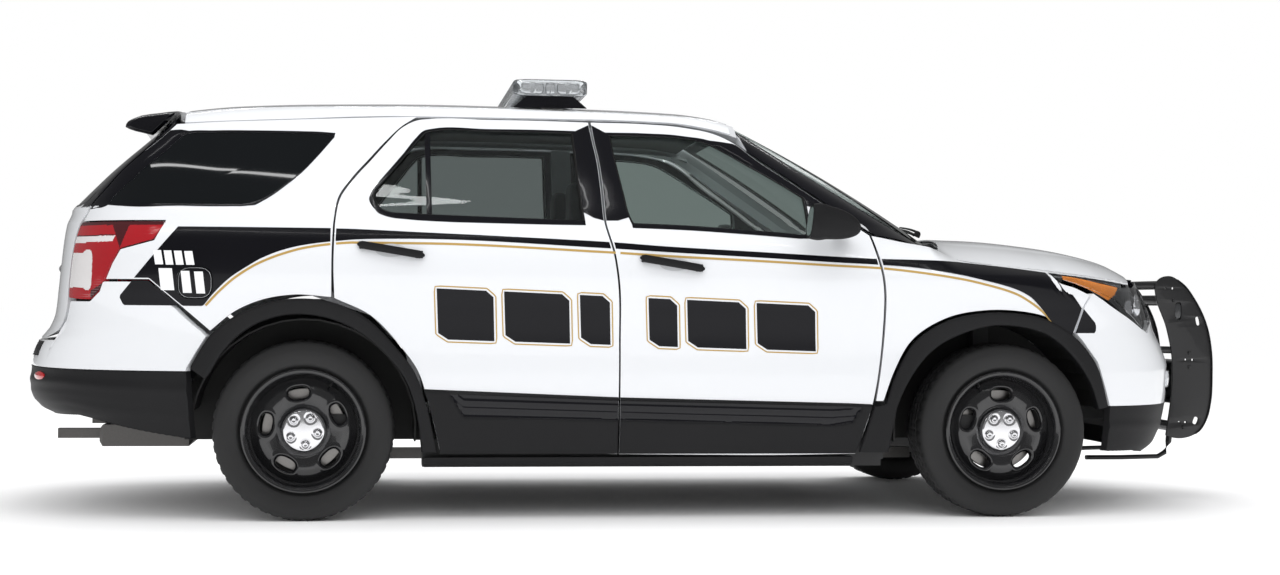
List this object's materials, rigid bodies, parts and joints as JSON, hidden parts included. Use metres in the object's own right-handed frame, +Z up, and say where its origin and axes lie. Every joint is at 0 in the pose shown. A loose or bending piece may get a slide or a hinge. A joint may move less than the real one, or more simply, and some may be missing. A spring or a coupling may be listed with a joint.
{
  "type": "police patrol sport utility vehicle",
  "caption": "Five-door police patrol vehicle with a roof light bar, a front push bumper, opening doors, hood and liftgate, and wheels that spin and steer.",
  "frame": {"origin": "on the ground, halfway along the car and on its middle plane, midway between the axles", "axes": "+X forward, +Y to the car's left, +Z up"},
  "size_m": [5.2242, 2.2836, 1.815],
  "materials": {
    "body_paint": "gloss",
    "black_trim": "satin",
    "gloss_black": "gloss",
    "dark_metal": "matte",
    "exhaust_metal": "satin",
    "clear_glass": "gloss",
    "dark_glass": "gloss",
    "head_lamp": "gloss",
    "tail_lamp": "gloss",
    "light_bar": "gloss",
    "bumper_coat": "satin",
    "interior": "matte",
    "seat_cloth": "matte",
    "tyre": "matte",
    "black_wheel": "gloss"
  },
  "bodies": {
    "body": {"underbody": "dark_metal", "front_structure": "dark_metal", "engine": "dark_metal", "front_subframe": "dark_metal", "rear_axle": "dark_metal", "exhaust": "exhaust_metal", "wheel_housings": "black_trim", "body_side_left": "body_paint", "body_side_right": "body_paint", "front_fender_left": "body_paint", "front_fender_right": "body_paint", "quarter_panel_left": "body_paint", "quarter_panel_right": "body_paint", "quarter_glass": "dark_glass", "roof_panel": "body_paint", "windshield": "clear_glass", "cowl": "black_trim", "wipers": "black_trim", "front_bumper": "body_paint", "front_valance": "black_trim", "rear_bumper": "body_paint", "rear_valance": "black_trim", "grille": "black_trim", "headlamps": "head_lamp", "tail_lamps": "tail_lamp", "wheel_arch_trim": "black_trim", "rocker_trim": "black_trim", "dashboard": "interior", "front_seats": "seat_cloth", "rear_seat": "seat_cloth", "light_bar": "light_bar", "push_bumper": "bumper_coat"},
    "door_front_left": {"door_front_left": "body_paint", "glass_front_left": "clear_glass", "mirror_left": "black_trim"},
    "door_front_right": {"door_front_right": "body_paint", "glass_front_right": "clear_glass", "mirror_right": "black_trim"},
    "door_rear_left": {"door_rear_left": "body_paint", "glass_rear_left": "clear_glass"},
    "door_rear_right": {"door_rear_right": "body_paint", "glass_rear_right": "clear_glass"},
    "hood": {"hood": "body_paint"},
    "liftgate": {"liftgate": "body_paint", "liftgate_glass": "dark_glass", "rear_spoiler": "gloss_black"},
    "fuel_door": {"fuel_door": "body_paint"},
    "knuckle_left": {"knuckle_left": "dark_metal"},
    "knuckle_right": {"knuckle_right": "dark_metal"},
    "steering_wheel": {"steering_wheel": "interior"},
    "wheel_front_left": {"wheel_front_left": "black_wheel", "tyre_front_left": "tyre"},
    "wheel_front_right": {"wheel_front_right": "black_wheel", "tyre_front_right": "tyre"},
    "wheel_rear_left": {"wheel_rear_left": "black_wheel", "tyre_rear_left": "tyre"},
    "wheel_rear_right": {"wheel_rear_right": "black_wheel", "tyre_rear_right": "tyre"}
  },
  "joints": [
    {"name": "steer_left", "type": "hinge", "parent": "body", "child": "knuckle_left", "pos_m": [1.43, 0.775, 0.357], "axis": [0, 0, 1], "range_deg": [-32, 32]},
    {"name": "steer_right", "type": "hinge", "parent": "body", "child": "knuckle_right", "pos_m": [1.43, -0.775, 0.357], "axis": [0, 0, 1], "range_deg": [-32, 32]},
    {"name": "steering_wheel_turn", "type": "hinge", "parent": "body", "child": "steering_wheel", "pos_m": [0.535, 0.37, 1.003], "axis": [-0.9272, 0, 0.3746], "range_deg": [-485, 485]},
    {"name": "front_left_wheel_spin", "type": "hinge", "parent": "knuckle_left", "child": "wheel_front_left", "pos_m": [1.43, 0.851, 0.357], "axis": [0, 1, 0], "continuous": true},
    {"name": "rear_left_wheel_spin", "type": "hinge", "parent": "body", "child": "wheel_rear_left", "pos_m": [-1.43, 0.851, 0.357], "axis": [0, 1, 0], "continuous": true},
    {"name": "front_right_wheel_spin", "type": "hinge", "parent": "knuckle_right", "child": "wheel_front_right", "pos_m": [1.43, -0.851, 0.357], "axis": [0, 1, 0], "continuous": true},
    {"name": "rear_right_wheel_spin", "type": "hinge", "parent": "body", "child": "wheel_rear_right", "pos_m": [-1.43, -0.851, 0.357], "axis": [0, 1, 0], "continuous": true},
    {"name": "front_left_door_swing", "type": "hinge", "parent": "body", "child": "door_front_left", "pos_m": [0.855, 0.984, 0.7], "axis": [0, 0, -1], "range_deg": [0, 65]},
    {"name": "rear_left_door_swing", "type": "hinge", "parent": "body", "child": "door_rear_left", "pos_m": [-0.236, 0.984, 0.7], "axis": [0, 0, -1], "range_deg": [0, 68]},
    {"name": "front_right_door_swing", "type": "hinge", "parent": "body", "child": "door_front_right", "pos_m": [0.855, -0.984, 0.7], "axis": [0, 0, 1], "range_deg": [0, 65]},
    {"name": "rear_right_door_swing", "type": "hinge", "parent": "body", "child": "door_rear_right", "pos_m": [-0.236, -0.984, 0.7], "axis": [0, 0, 1], "range_deg": [0, 68]},
    {"name": "hood_lift", "type": "hinge", "parent": "body", "child": "hood", "pos_m": [1.178, 0, 1.135], "axis": [0, -1, 0], "range_deg": [0, 60]},
    {"name": "liftgate_lift", "type": "hinge", "parent": "body", "child": "liftgate", "pos_m": [-1.925, 0, 1.697], "axis": [0, 1, 0], "range_deg": [0, 80]},
    {"name": "fuel_door_swing", "type": "hinge", "parent": "body", "child": "fuel_door", "pos_m": [-1.791, -0.9805, 0.939], "axis": [0, 0, 1], "range_deg": [0, 95]}
  ],
  "couplings": [
    {"joint": "steer_right", "follows": "steer_left", "ratio": 1},
    {"joint": "steering_wheel_turn", "follows": "steer_left", "ratio": 15}
  ]
}
